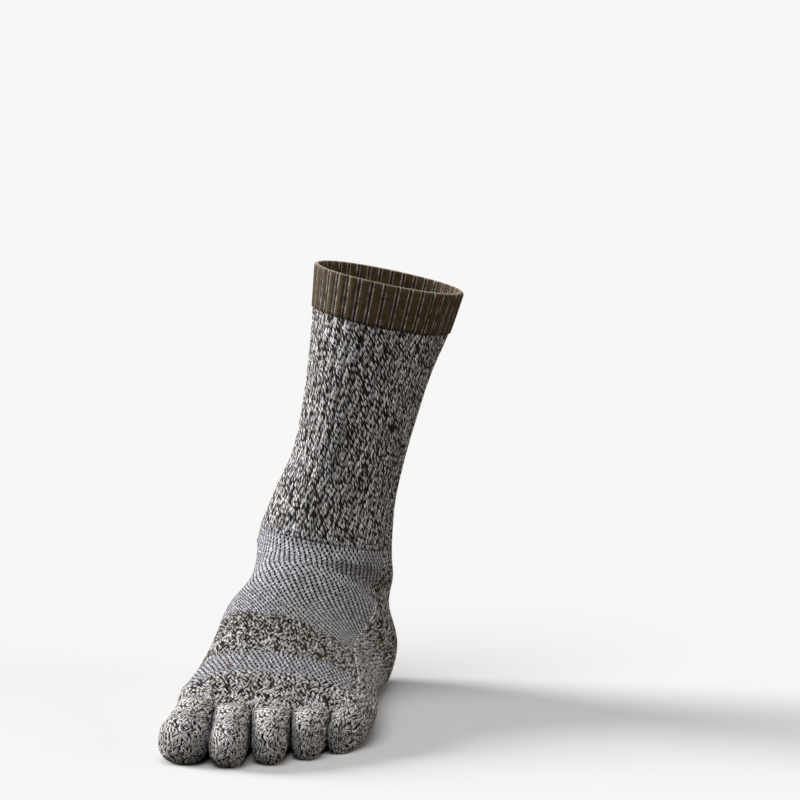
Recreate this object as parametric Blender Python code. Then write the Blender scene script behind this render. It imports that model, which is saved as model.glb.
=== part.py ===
"""A left toe sock, standing on its sole with the foot's form in it.

The sock is knitted in zones, and each zone is a piece of its own: a ribbed cuff, a ribbed
leg, a heel pocket, three bands over the instep, a sole, a forefoot and five toe pockets.
All of them are walls cut from one surface, which runs down the leg, fans round the ankle
and goes on along the foot to the line where the toes part. There it divides in five.

Metres, +Z up. The toes point towards -Y, the big toe lies on the -X side, and the origin
is on the floor under the middle of the sock.
"""

import math

import bmesh
import bpy
from mathutils import Vector

# The sock as a whole
FOOT_LENGTH = 0.250
FOOT_WIDTH = 0.100
INSTEP_HEIGHT = 0.096
SOCK_HEIGHT = 0.2310
LEG_DEPTH = 0.080
LEG_WIDTH = 0.070
LEG_LEAN = 0.034
TOE_HEIGHT = 0.030

# The knitted walls
WALL = 0.0020
CUFF_WALL = 0.0028
CUFF_HEIGHT = 0.0215
RIB_COUNT = 38
LEG_RIB_DEPTH = 0.0005
CUFF_RIB_DEPTH = 0.0008
PIECE_GAP = 0.0003
TOE_GAP = 0.0006

# How finely the pieces are divided: points round each zone, the step over which a normal
# is taken, the angle in degrees past which an edge is sharp, and how near the ball's ring
# comes to its own sides
TOE_ARC_POINTS = 7
PANEL_POINTS = 16
BOTTOM_POINTS = 24
NORMAL_STEP = 0.02
SHARP_EDGE = 50
RING_LIMIT = 0.995

# The leg's sections, from the ankle up. Columns: height between the ankle and the rim,
# sideways lean as a share of LEG_LEAN, depth as a share of LEG_DEPTH, the front's reach
# beyond the ankle's front as a share of LEG_DEPTH, width as a share of LEG_WIDTH, roll in
# degrees towards the little toe.
LEG_SECTIONS = [
    ("rim", 1.00, 1.00, 1.110, 0.045, 1.165, 12),
    ("cuff_foot", 0.84, 0.87, 1.080, 0.034, 1.080, 12),
    ("calf", 0.66, 0.69, 1.035, 0.012, 0.965, 11),
    ("shin", 0.46, 0.51, 0.985, -0.012, 0.892, 10),
    ("low_shin", 0.27, 0.32, 0.945, -0.035, 0.870, 9),
    ("ankle", 0.11, 0.11, 0.945, -0.030, 0.945, 9),
]

# The foot's sections, from the ankle's bend to the ball. Reaches are shares of FOOT_LENGTH
# from the heel's back, heights are shares of INSTEP_HEIGHT, sideways sizes are shares of
# FOOT_WIDTH. Columns: front reach and height, back reach and height, middle, half width on
# the big toe's side, half width on the little toe's side, shift of the crest, roll in
# degrees, skew, how far down the widest point lies, squareness above and below it, half of
# the angle that the instep bands span on either side of the crest, in degrees.
FOOT_SECTIONS = [
    ("bend", 0.372, 0.945, 0.040, 0.860, -0.01, 0.375, 0.355, 0.00, 10, 0.00, 0.50, 2.1, 2.2, 76),
    ("instep", 0.394, 0.885, 0.016, 0.625, -0.02, 0.372, 0.355, -0.02, 7, 0.00, 0.54, 2.2, 2.4, 78),
    ("heel_back", 0.420, 0.845, 0.000, 0.396, -0.02, 0.358, 0.310, -0.06, 3, 0.00, 0.64, 2.4, 2.6, 76),
    ("heel_low", 0.448, 0.805, 0.018, 0.136, -0.02, 0.360, 0.360, -0.09, 1, 0.00, 0.68, 2.5, 2.9, 72),
    ("heel_sole", 0.478, 0.762, 0.090, -0.018, -0.03, 0.365, 0.370, -0.11, 1, 0.00, 0.68, 2.5, 3.0, 70),
    ("arch_back", 0.512, 0.712, 0.195, -0.012, -0.03, 0.375, 0.375, -0.13, 3, 0.00, 0.66, 2.4, 3.0, 69),
    ("arch", 0.550, 0.660, 0.315, 0.020, -0.03, 0.362, 0.400, -0.14, 4, 0.00, 0.65, 2.4, 3.0, 68),
    ("arch_front", 0.592, 0.600, 0.430, 0.025, -0.03, 0.366, 0.440, -0.13, 4, -0.03, 0.64, 2.3, 3.0, 67),
    ("midfoot", 0.640, 0.536, 0.540, 0.015, -0.02, 0.388, 0.475, -0.11, 3, -0.08, 0.64, 2.3, 3.0, 66),
    ("ball_back", 0.688, 0.474, 0.635, -0.014, -0.01, 0.426, 0.495, -0.09, 1, -0.14, 0.64, 2.3, 3.0, 65),
    ("ball", 0.736, 0.408, 0.712, -0.022, 0.00, 0.468, 0.505, -0.08, 0, -0.20, 0.60, 2.3, 3.0, 64),
]

# Where each zone of the foot ends, counted in rows of FOOT_SECTIONS
HEEL_END = 4.6
VENT_END = 6.6
BAND_END = 9.12
BALL_ROW = 10.0

# The toes, from the big one outwards. Columns: name, edge towards the big toe's side at the
# root and at the tip (shares of FOOT_WIDTH), reach of the root's edge and of the tip (shares
# of FOOT_LENGTH), height at the root and at the pad (shares of TOE_HEIGHT).
TOES = [
    ("big_toe", -0.464, -0.465, 0.832, 0.990, 0.94, 0.80),
    ("second_toe", -0.240, -0.181, 0.848, 1.000, 0.86, 0.74),
    ("third_toe", -0.045, 0.022, 0.846, 0.955, 0.82, 0.72),
    ("fourth_toe", 0.150, 0.192, 0.828, 0.896, 0.78, 0.69),
    ("little_toe", 0.330, 0.325, 0.784, 0.826, 0.78, 0.66),
]
OUTER_EDGE = (0.505, 0.428, 0.740)

# How a toe runs from its root at 0 to its tip at 1, with the power that keeps the valleys
# between the toes shut until close to the root. Columns: place along the toe, height
# of its crotch sides as a share of its own height, share of the way from the root's height
# to the pad's height, lift of its underside as a share of TOE_HEIGHT.
TOE_SECTIONS = [
    (0.00, 0.64, 0.00, 0.03),
    (0.12, 0.50, 0.14, 0.03),
    (0.28, 0.25, 0.50, 0.00),
    (0.45, 0.08, 0.90, -0.03),
    (0.60, 0.00, 1.00, -0.04),
]
VALLEY_START_POWER = 10
TOE_SQUARENESS = 2.3
TOE_MIDDLE = 0.46
TOE_CAP_START = 0.60
TOE_CAP_SQUARENESS = 2.3
TOE_CAP_ANGLES = (28, 52, 72)
TOE_TIP_HEIGHT = 0.34

# Colours of the yarns: red, green, blue, all in linear light
OLIVE_BROWN = (0.085, 0.065, 0.030)
DARK_MARL = (0.110, 0.105, 0.088)
GREY_MARL = (0.170, 0.165, 0.145)
VENT_GREY = (0.300, 0.285, 0.320)
ROUGHNESS = 0.92


def clear_scene():
    for item in list(bpy.data.objects):
        bpy.data.objects.remove(item, do_unlink=True)


def knit_material(name, colour):
    material = bpy.data.materials.new(name)
    material.use_nodes = True
    shader = material.node_tree.nodes["Principled BSDF"]
    shader.inputs["Base Color"].default_value = (*colour, 1.0)
    shader.inputs["Roughness"].default_value = ROUGHNESS
    shader.inputs["Metallic"].default_value = 0.0
    return material


def leg_row(height, lean, depth, front, width, roll):
    """One section of the leg, in the same columns as a row of the foot, in metres."""
    ankle = INSTEP_HEIGHT
    level = ankle + height * (SOCK_HEIGHT - ankle)
    front_reach = FOOT_SECTIONS[0][1] * FOOT_LENGTH + front * LEG_DEPTH
    back_reach = front_reach - depth * LEG_DEPTH
    half = width * LEG_WIDTH / 2
    return (front_reach, level, back_reach, level, lean * LEG_LEAN, half, half, 0.0, roll,
            0.0, 0.5, 2.1, 2.1, FOOT_SECTIONS[0][-1])


def foot_row(front_reach, front_height, back_reach, back_height, middle, half_in, half_out,
             crest, roll, skew, side, square_top, square_bottom, instep_angle):
    """One section of the foot, with its shares turned into metres."""
    return (front_reach * FOOT_LENGTH, front_height * INSTEP_HEIGHT,
            back_reach * FOOT_LENGTH, back_height * INSTEP_HEIGHT,
            middle * FOOT_WIDTH, half_in * FOOT_WIDTH, half_out * FOOT_WIDTH,
            crest * FOOT_WIDTH, roll, skew, side, square_top, square_bottom, instep_angle)


ROWS = [leg_row(*row[1:]) for row in LEG_SECTIONS] + [foot_row(*row[1:]) for row in FOOT_SECTIONS]
FIRST_FOOT_ROW = len(LEG_SECTIONS)
LEG_END = float(FIRST_FOOT_ROW)


def blend_rows(place):
    """The section at a place between two rows, by a smooth curve through every row."""
    last = len(ROWS) - 1
    index = min(max(int(math.floor(place)), 0), last - 1)
    part = place - index
    before = ROWS[max(index - 1, 0)]
    start = ROWS[index]
    end = ROWS[index + 1]
    after = ROWS[min(index + 2, last)]
    square, cube = part * part, part * part * part
    values = []
    for p0, p1, p2, p3 in zip(before, start, end, after):
        slope_start = (p2 - p0) / 2 if index > 0 else p2 - p1
        slope_end = (p3 - p1) / 2 if index < last - 1 else p2 - p1
        values.append((2 * cube - 3 * square + 1) * p1 + (cube - 2 * square + part) * slope_start
                      + (3 * square - 2 * cube) * p2 + (cube - square) * slope_end)
    return values


def signed_power(value, squareness):
    return math.copysign(abs(value) ** (2 / squareness), value)


def on_floor(point, level):
    """Keeps a point of the sole from reaching below a level."""
    return Vector((point.x, point.y, max(point.z, level)))


def surface(place, angle):
    """The point of the outer surface at a row and an angle from the foot's crest.

    The underside is flat where it rests on the floor.
    """
    (front_reach, front_height, back_reach, back_height, middle, half_in, half_out, crest,
     roll, skew, side, square_top, square_bottom, _) = blend_rows(place)
    cosine, sine = math.cos(angle), math.sin(angle)
    squareness = square_top if cosine >= 0 else square_bottom
    along = signed_power(cosine, squareness)
    across = signed_power(sine, squareness)
    middle_reach = front_reach + (back_reach - front_reach) * side
    middle_height = front_height + (back_height - front_height) * side
    sideways = across * (half_out if sine >= 0 else half_in)
    if cosine >= 0:
        reach = middle_reach + along * (front_reach - middle_reach)
        height = middle_height + along * (front_height - middle_height)
        sideways += crest * along
    else:
        reach = middle_reach - along * (back_reach - middle_reach)
        height = middle_height - along * (back_height - middle_height)
    tilt = math.radians(roll)
    reach += skew * sideways
    point = Vector((middle + sideways * math.cos(tilt), FOOT_LENGTH / 2 - reach,
                    height - sideways * math.sin(tilt)))
    return on_floor(point, 0.0)


def surface_normal(place, angle):
    step_place, step_angle = NORMAL_STEP, math.radians(2)
    last = len(ROWS) - 1
    low, high = max(place - step_place, 0.0), min(place + step_place, float(last))
    down = surface(high, angle) - surface(low, angle)
    around = surface(place, angle + step_angle) - surface(place, angle - step_angle)
    return down.cross(around).normalized()


def skin_point(place, angle, depth):
    """A point at a depth below the outer surface."""
    return surface(place, angle) - surface_normal(place, angle) * depth


def new_piece(name, mesh_builder, colour):
    """Makes the object of one zone from the mesh that its builder draws."""
    bm = bmesh.new()
    mesh_builder(bm)
    bmesh.ops.recalc_face_normals(bm, faces=bm.faces)
    if bm.calc_volume(signed=True) < 0:
        bmesh.ops.reverse_faces(bm, faces=bm.faces)
    mesh = bpy.data.meshes.new(name)
    bm.to_mesh(mesh)
    bm.free()
    mesh.shade_smooth()
    mesh.set_sharp_from_angle(angle=math.radians(SHARP_EDGE))
    piece = bpy.data.objects.new(name, mesh)
    piece.data.materials.append(knit_material(name + "_knit", colour))
    bpy.context.collection.objects.link(piece)
    return piece


def add_rows(bm, rows):
    return [[bm.verts.new(point) for point in row] for row in rows]


def stretch_skin(bm, rows, closed):
    """Joins each row of vertices to the next one with faces."""
    for upper, lower in zip(rows, rows[1:]):
        count = len(upper)
        for index in range(count if closed else count - 1):
            other = (index + 1) % count
            bm.faces.new((upper[index], upper[other], lower[other], lower[index]))


def shift_edge(row, neighbour, distance):
    """Moves a row of points towards its neighbour by a distance."""
    return [point + (beside - point).normalized() * distance
            for point, beside in zip(row, neighbour)]


def trim_ends(rows, first, last):
    """Draws the first and the last row back, to leave a gap to the next piece."""
    trimmed = [list(row) for row in rows]
    if first:
        trimmed[0] = shift_edge(rows[0], rows[1], first)
    if last:
        trimmed[-1] = shift_edge(rows[-1], rows[-2], last)
    return trimmed


def transpose(rows):
    return [list(column) for column in zip(*rows)]


def wall_tube(bm, outer, inner):
    """A tube's wall: an outer and an inner skin, joined along both rims."""
    outer_rows, inner_rows = add_rows(bm, outer), add_rows(bm, inner)
    stretch_skin(bm, outer_rows, True)
    stretch_skin(bm, inner_rows, True)
    stretch_skin(bm, [outer_rows[0], inner_rows[0]], True)
    stretch_skin(bm, [outer_rows[-1], inner_rows[-1]], True)


def wall_panel(bm, outer, inner):
    """A panel's wall: two skins joined along all four edges."""
    outer_rows, inner_rows = add_rows(bm, outer), add_rows(bm, inner)
    stretch_skin(bm, outer_rows, False)
    stretch_skin(bm, inner_rows, False)
    stretch_skin(bm, [outer_rows[0], inner_rows[0]], False)
    stretch_skin(bm, [outer_rows[-1], inner_rows[-1]], False)
    outer_sides, inner_sides = transpose(outer_rows), transpose(inner_rows)
    stretch_skin(bm, [outer_sides[0], inner_sides[0]], False)
    stretch_skin(bm, [outer_sides[-1], inner_sides[-1]], False)


def spread(start, end, steps):
    return [start + (end - start) * index / steps for index in range(steps + 1)]


def ribbed_row(place, rib_depth, depth):
    """A ring of the leg with a ridge and a groove for each rib."""
    points = []
    for index in range(2 * RIB_COUNT):
        groove = rib_depth if index % 2 else 0.0
        points.append(skin_point(place, math.pi * index / RIB_COUNT, depth + groove))
    return points


def row_at_height(height):
    """The place among the leg's rows whose middle lies at a height."""
    low, high = 0.0, LEG_END
    for _ in range(40):
        middle = (low + high) / 2
        values = blend_rows(middle)
        if (values[1] + values[3]) / 2 > height:
            low = middle
        else:
            high = middle
    return low


def cuff(bm):
    """The folded welt: a thicker ribbed ring with a rounded fold along its top."""
    foot_place = row_at_height(SOCK_HEIGHT - CUFF_HEIGHT)
    bulge = CUFF_WALL - WALL
    places = spread(foot_place, 0.0, 3)
    outer = [ribbed_row(place, CUFF_RIB_DEPTH, -bulge) for place in places]
    inner = [ribbed_row(place, 0.0, WALL) for place in places]
    outer = trim_ends(outer, PIECE_GAP / 2, 0.0)
    inner = trim_ends(inner, PIECE_GAP / 2, 0.0)
    outer_top, inner_top = outer[-1], inner[-1]
    fold = []
    for turn in (45, 90, 135):
        share = (1 - math.cos(math.radians(turn))) / 2
        rise = math.sin(math.radians(turn)) * CUFF_WALL / 2
        fold.append([point.lerp(other, share) + Vector((0, 0, rise))
                     for point, other in zip(outer_top, inner_top)])
    skin = add_rows(bm, outer + fold + inner[::-1])
    stretch_skin(bm, skin, True)
    stretch_skin(bm, [skin[-1], skin[0]], True)


def leg(bm):
    """The ribbed leg, from the cuff down to the bend of the ankle."""
    places = spread(row_at_height(SOCK_HEIGHT - CUFF_HEIGHT), LEG_END, 6)
    half_gap = PIECE_GAP / 2
    outer = [ribbed_row(place, LEG_RIB_DEPTH, 0.0) for place in places]
    inner = [ribbed_row(place, 0.0, WALL) for place in places]
    wall_tube(bm, trim_ends(outer, half_gap, half_gap), trim_ends(inner, half_gap, half_gap))


def instep_angles(place):
    """Angles across the instep bands, from their seam on one side to that on the other."""
    edge = math.radians(blend_rows(place)[-1])
    return spread(-edge, edge, PANEL_POINTS)


def bottom_angles(place):
    """Angles round the rest of the foot, under the heel and the sole."""
    edge = math.radians(blend_rows(place)[-1])
    return spread(edge, 2 * math.pi - edge, BOTTOM_POINTS)


def panel(places, angles):
    """A builder for a wall over some rows and angles, drawn back from all its neighbours."""
    half_gap = PIECE_GAP / 2

    def build(bm):
        skins = []
        for depth in (0.0, WALL):
            rows = [[skin_point(place, angle, depth) for angle in angles(place)]
                    for place in places]
            rows = trim_ends(rows, half_gap, half_gap)
            columns = trim_ends(transpose(rows), half_gap, half_gap)
            skins.append(transpose(columns))
        wall_panel(bm, *skins)

    return build


def foot_places(start, end, steps):
    return [FIRST_FOOT_ROW + place for place in spread(start, end, steps)]


def toe_edges():
    """The toes' edges at root and tip, and the reach of the line where they part."""
    edges = [(root * FOOT_WIDTH, tip * FOOT_WIDTH, reach * FOOT_LENGTH)
             for _, root, tip, reach, _, _, _ in TOES]
    root, tip, reach = OUTER_EDGE
    edges.append((root * FOOT_WIDTH, tip * FOOT_WIDTH, reach * FOOT_LENGTH))
    return edges


def toe_angles():
    """Angles across one toe, from its inner to its outer side, clear of both sides."""
    return [math.radians(-90 + 180 * (index + 0.5) / TOE_ARC_POINTS)
            for index in range(TOE_ARC_POINTS)]


def toe_row(number, values, depth):
    """One section of a toe: over the top from its inner side, then back underneath.

    The values are the place along the toe, the height of its crotch sides, the share of the
    pad's height, the lift underneath, a scale for the rounded tip and the reach of the tip.
    """
    place, crotch, pad_share, lift, scale = values
    _, _, _, _, tip_reach, root_height, pad_height = TOES[number]
    inner_edge, outer_edge = toe_edges()[number], toe_edges()[number + 1]
    low_x = inner_edge[0] + (inner_edge[1] - inner_edge[0]) * place
    high_x = outer_edge[0] + (outer_edge[1] - outer_edge[0]) * place
    height = (root_height + (pad_height - root_height) * pad_share) * TOE_HEIGHT
    bottom = lift * TOE_HEIGHT
    middle = bottom + (height - bottom) * TOE_MIDDLE
    tip_middle = TOE_TIP_HEIGHT * TOE_HEIGHT
    level = tip_middle + (middle - tip_middle) * scale
    centre, half = (low_x + high_x) / 2, ((high_x - low_x) / 2 - TOE_GAP / 2 - depth) * scale
    points = []
    for upward, full_height in ((1, height - middle), (-1, middle - bottom)):
        row = []
        for angle in toe_angles():
            across = signed_power(math.sin(angle), TOE_SQUARENESS)
            arch = abs(signed_power(math.cos(angle), TOE_SQUARENESS))
            outer_side = (number == 0 and angle < 0) or (number == len(TOES) - 1 and angle > 0)
            inner_height = full_height - depth
            flank = 0.0 if outer_side else max(full_height * crotch - depth, 0.0) / inner_height
            rise = inner_height * scale * (flank + (1 - flank) * arch)
            x = centre + across * half
            share = (x - low_x) / (high_x - low_x)
            root_reach = inner_edge[2] + (outer_edge[2] - inner_edge[2]) * share
            end_reach = tip_reach * FOOT_LENGTH - depth
            reach = root_reach + (end_reach - root_reach) * place
            point = Vector((x, FOOT_LENGTH / 2 - reach, level + upward * rise))
            row.append(on_floor(point, depth))
        points += row if upward > 0 else row[::-1]
    return points


def toe_values():
    """The rows of TOE_SECTIONS, then those of the rounded tip."""
    rows = [(place, crotch, share, lift, 1.0) for place, crotch, share, lift in TOE_SECTIONS]
    pad_lift = TOE_SECTIONS[-1][-1]
    for turn in TOE_CAP_ANGLES:
        forward = signed_power(math.sin(math.radians(turn)), TOE_CAP_SQUARENESS)
        scale = signed_power(math.cos(math.radians(turn)), TOE_CAP_SQUARENESS)
        rows.append((TOE_CAP_START + (1 - TOE_CAP_START) * forward, 0.0, 1.0, pad_lift, scale))
    return rows


def toe(number):
    """A builder for one toe pocket, open at its root and rounded at its tip."""
    tip_reach = TOES[number][4] * FOOT_LENGTH
    tip_x = (toe_edges()[number][1] + toe_edges()[number + 1][1]) / 2

    def build(bm):
        rims = []
        for depth in (0.0, WALL):
            rows = [toe_row(number, values, depth) for values in toe_values()]
            rows = add_rows(bm, trim_ends(rows, PIECE_GAP, 0.0))
            stretch_skin(bm, rows, True)
            tip = Vector((tip_x, FOOT_LENGTH / 2 - tip_reach + depth, TOE_TIP_HEIGHT * TOE_HEIGHT))
            pole = bm.verts.new(tip)
            last = rows[-1]
            for index, vertex in enumerate(last):
                bm.faces.new((vertex, last[(index + 1) % len(last)], pole))
            rims.append(rows[0])
        stretch_skin(bm, rims, True)

    return build


def root_ring(depth, valleys=True):
    """The outline in which the five toes part, over the top and back underneath."""
    place, crotch, share, lift, scale = toe_values()[0]
    if not valleys:
        crotch = 1.0
    top, bottom = [], []
    for number in range(len(TOES)):
        row = toe_row(number, (place, crotch, share, lift, scale), depth)
        top += row[:TOE_ARC_POINTS]
        bottom.append(row[TOE_ARC_POINTS:])
    for row in reversed(bottom):
        top += row
    return top


def ball_ring(depth):
    """The ring at the ball of the foot, with a point behind each point of the toes' line."""
    place = FIRST_FOOT_ROW + BALL_ROW
    values = blend_rows(place)
    middle, half_in, half_out = values[4], values[5], values[6]
    square_top, square_bottom = values[11], values[12]
    ring = root_ring(0.0)
    half_count = len(ring) // 2
    reach_in = middle - ring[0].x
    reach_out = ring[half_count - 1].x - middle
    points = []
    for index, point in enumerate(ring):
        above = index < half_count
        squareness = square_top if above else square_bottom
        share = (point.x - middle) / (reach_out if point.x > middle else reach_in)
        share = max(min(share, 1.0), -1.0) * RING_LIMIT
        angle = math.asin(math.copysign(abs(share) ** (squareness / 2), share))
        if not above:
            angle = math.pi - angle
        points.append(skin_point(place, angle, depth))
    return points


def forefoot(bm):
    """The front of the foot, from the ball to the line where the toes part."""
    skins = []
    for depth in (0.0, WALL):
        start, end = ball_ring(depth), root_ring(depth)
        filled = root_ring(depth, valleys=False)
        rows = []
        for share in spread(0.0, 1.0, 5):
            eased = share * share * (3 - 2 * share)
            valley = share ** VALLEY_START_POWER
            row = []
            for ball_point, filled_point, root_point in zip(start, filled, end):
                point = ball_point.lerp(filled_point, eased) + (root_point - filled_point) * valley
                point.y = ball_point.y + (root_point.y - ball_point.y) * share
                row.append(on_floor(point, depth))
            rows.append(row)
        skins.append(trim_ends(rows, PIECE_GAP / 2, 0.0))
    wall_tube(bm, *skins)


def centre_on_floor(pieces):
    """Moves the meshes so that the origin lies on the floor under the sock's middle."""
    points = [vertex.co for piece in pieces for vertex in piece.data.vertices]
    low_x, high_x = min(p.x for p in points), max(p.x for p in points)
    low_y, high_y = min(p.y for p in points), max(p.y for p in points)
    low_z = min(p.z for p in points)
    offset = Vector(((low_x + high_x) / 2, (low_y + high_y) / 2, low_z))
    for piece in pieces:
        for vertex in piece.data.vertices:
            vertex.co -= offset


def build_sock():
    clear_scene()
    heel_places = foot_places(0.0, HEEL_END, 9)
    vent_places = heel_places + foot_places(HEEL_END, VENT_END, 3)[1:]
    zones = [
        ("cuff", cuff, OLIVE_BROWN),
        ("leg", leg, DARK_MARL),
        ("heel", panel(heel_places, bottom_angles), GREY_MARL),
        ("instep_vent", panel(vent_places, instep_angles), VENT_GREY),
        ("midfoot_band", panel(foot_places(VENT_END, BAND_END, 4), instep_angles), DARK_MARL),
        ("vent_strip", panel(foot_places(BAND_END, BALL_ROW, 1), instep_angles), VENT_GREY),
        ("sole", panel(foot_places(HEEL_END, BALL_ROW, 7), bottom_angles), GREY_MARL),
        ("forefoot", forefoot, GREY_MARL),
    ]
    zones += [(row[0], toe(number), GREY_MARL) for number, row in enumerate(TOES)]
    centre_on_floor([new_piece(*zone) for zone in zones])


build_sock()
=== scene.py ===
# %% [markdown]
# # A knitted toe sock
# This lesson dresses the plain CAD model of a toe sock in its knitting. The sock stands on
# its sole with the form of a left foot in it. Each zone of the knit is a sheet of its own:
# cuff, leg, heel, instep bands, sole, forefoot and five toes. All of them lie on one surface,
# and a UV map counts their stitches, so that one yarn pattern can follow every bend.

# %% The frame
import math
from collections import namedtuple

import bmesh
import bpy
import numpy as np
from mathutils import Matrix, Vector


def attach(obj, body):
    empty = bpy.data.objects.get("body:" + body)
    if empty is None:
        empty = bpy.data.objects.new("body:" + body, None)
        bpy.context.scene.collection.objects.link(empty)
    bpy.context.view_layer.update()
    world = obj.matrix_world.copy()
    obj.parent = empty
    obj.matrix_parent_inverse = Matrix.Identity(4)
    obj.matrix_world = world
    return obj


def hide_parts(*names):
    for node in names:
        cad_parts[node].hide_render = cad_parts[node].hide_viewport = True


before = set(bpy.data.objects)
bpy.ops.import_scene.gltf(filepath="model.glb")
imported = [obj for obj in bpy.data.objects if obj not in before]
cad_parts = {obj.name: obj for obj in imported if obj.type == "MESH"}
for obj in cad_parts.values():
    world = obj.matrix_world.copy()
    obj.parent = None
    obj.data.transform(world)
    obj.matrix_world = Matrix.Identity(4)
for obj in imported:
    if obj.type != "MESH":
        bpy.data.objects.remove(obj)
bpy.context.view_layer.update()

print("CAD nodes:", sorted(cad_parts))

# %% [markdown]
# ## The named sizes
# A knitted sock takes the form of the foot in it. The form is given by sections, from the
# rim of the cuff to the ball of the foot, as shares of a few real sizes. They are the same
# sizes and sections that the CAD model has, so each sheet lies where its CAD solid lies.

# %% Sizes in metres
FOOT_LENGTH = 0.250
FOOT_WIDTH = 0.100
INSTEP_HEIGHT = 0.096
SOCK_HEIGHT = 0.2310
LEG_DEPTH = 0.080
LEG_WIDTH = 0.070
LEG_LEAN = 0.034
TOE_HEIGHT = 0.030
WALL = 0.0020
CUFF_WALL = 0.0028
CUFF_HEIGHT = 0.0215
RIB_COUNT = 38
WALES_PER_RIB = 4
LEG_RIB_DEPTH = 0.0005
CUFF_RIB_DEPTH = 0.0008
TOE_GAP = 0.0006
# The CAD model stands centred over its own box, so this is taken off every point
MIDDLE_OF_SOCK = np.array((0.013361, -0.000007, 0.0))
print("sock", FOOT_LENGTH, "m long and", SOCK_HEIGHT, "m high, wall", WALL)

# %% Sections of the leg
# Name, then height, lean, depth and front reach as shares, width as a share, roll in degrees
LEG_SECTIONS = [
    ("rim", 1.00, 1.00, 1.110, 0.045, 1.165, 12),
    ("cuff_foot", 0.84, 0.87, 1.080, 0.034, 1.080, 12),
    ("calf", 0.66, 0.69, 1.035, 0.012, 0.965, 11),
    ("shin", 0.46, 0.51, 0.985, -0.012, 0.892, 10),
    ("low_shin", 0.27, 0.32, 0.945, -0.035, 0.870, 9),
    ("ankle", 0.11, 0.11, 0.945, -0.030, 0.945, 9),
]
LEG_SIDE = 0.5
LEG_SQUARENESS = 2.1
print("leg sections:", [row[0] for row in LEG_SECTIONS])

# %% Sections of the foot
# Name, front reach and height, back reach and height, middle, half width on the big toe's and
# on the little toe's side, crest, roll, skew, where the sides are widest, squareness above and
# below, and the half angle of the instep bands
FOOT_SECTIONS = [
    ("bend", 0.372, 0.945, 0.040, 0.860, -0.01, 0.375, 0.355, 0, 10, 0, 0.50, 2.1, 2.2, 76),
    ("instep", 0.394, 0.885, 0.016, 0.625, -0.02, 0.372, 0.355, -0.02, 7, 0, 0.54, 2.2, 2.4, 78),
    ("heel_back", 0.420, 0.845, 0, 0.396, -0.02, 0.358, 0.310, -0.06, 3, 0, 0.64, 2.4, 2.6, 76),
    ("heel_low", 0.448, 0.805, 0.018, 0.136, -0.02, 0.36, 0.36, -0.09, 1, 0, 0.68, 2.5, 2.9, 72),
    ("heel_sole", 0.478, 0.762, 0.09, -0.018, -0.03, 0.365, 0.37, -0.11, 1, 0, 0.68, 2.5, 3, 70),
    ("arch_back", 0.512, 0.712, 0.195, -0.012, -0.03, 0.375, 0.375, -0.13, 3, 0, 0.66, 2.4, 3, 69),
    ("arch", 0.550, 0.660, 0.315, 0.020, -0.03, 0.362, 0.400, -0.14, 4, 0, 0.65, 2.4, 3, 68),
    ("arch_front", 0.592, 0.6, 0.43, 0.025, -0.03, 0.366, 0.44, -0.13, 4, -0.03, 0.64, 2.3, 3, 67),
    ("midfoot", 0.640, 0.536, 0.54, 0.015, -0.02, 0.388, 0.475, -0.11, 3, -0.08, 0.64, 2.3, 3, 66),
    ("ball_back", 0.688, 0.474, 0.635, -0.014, -0.01, 0.426, 0.495, -0.09, 1, -0.14, 0.64, 2.3, 3,
     65),
    ("ball", 0.736, 0.408, 0.712, -0.022, 0, 0.468, 0.505, -0.08, 0, -0.20, 0.60, 2.3, 3, 64),
]
# Places, counted in sections from the rim, where one zone of the knit ends
ANKLE = float(len(LEG_SECTIONS))
HEEL_END = 10.6
VENT_END = 12.6
BAND_END = 15.12
BALL = 16.0
print("foot sections:", [row[0] for row in FOOT_SECTIONS])

# %% [markdown]
# ## The surface of the foot
# A section is an oval with squared shoulders. Between two sections the surface follows a
# smooth curve through all of them. A place counts sections from the rim at 0 to the ball at
# 16, and an angle runs round the section: 0 is the crest, 90 degrees the little toe's side.

# %% One table of sections
Section = namedtuple("Section", (
    "front_reach", "front_height", "back_reach", "back_height", "middle", "half_in", "half_out",
    "crest", "roll", "skew", "side", "square_top", "square_bottom", "band_angle"))
FOOT_UNITS = Section(FOOT_LENGTH, INSTEP_HEIGHT, FOOT_LENGTH, INSTEP_HEIGHT, FOOT_WIDTH,
                     FOOT_WIDTH, FOOT_WIDTH, FOOT_WIDTH, 1, 1, 1, 1, 1, 1)


def leg_row(height, lean, depth, front, width, roll):
    """A section of the leg, written as a section of the foot is."""
    bend = Section(*FOOT_SECTIONS[0][1:])
    level = INSTEP_HEIGHT + height * (SOCK_HEIGHT - INSTEP_HEIGHT)
    front_reach = bend.front_reach * FOOT_LENGTH + front * LEG_DEPTH
    half = width * LEG_WIDTH / 2
    return Section(front_reach, level, front_reach - depth * LEG_DEPTH, level, lean * LEG_LEAN,
                   half, half, 0.0, roll, 0.0, LEG_SIDE, LEG_SQUARENESS, LEG_SQUARENESS,
                   bend.band_angle)


ROWS = np.array([leg_row(*row[1:]) for row in LEG_SECTIONS]
                + [np.array(row[1:]) * FOOT_UNITS for row in FOOT_SECTIONS])
print("table of sections:", ROWS.shape)


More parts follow.
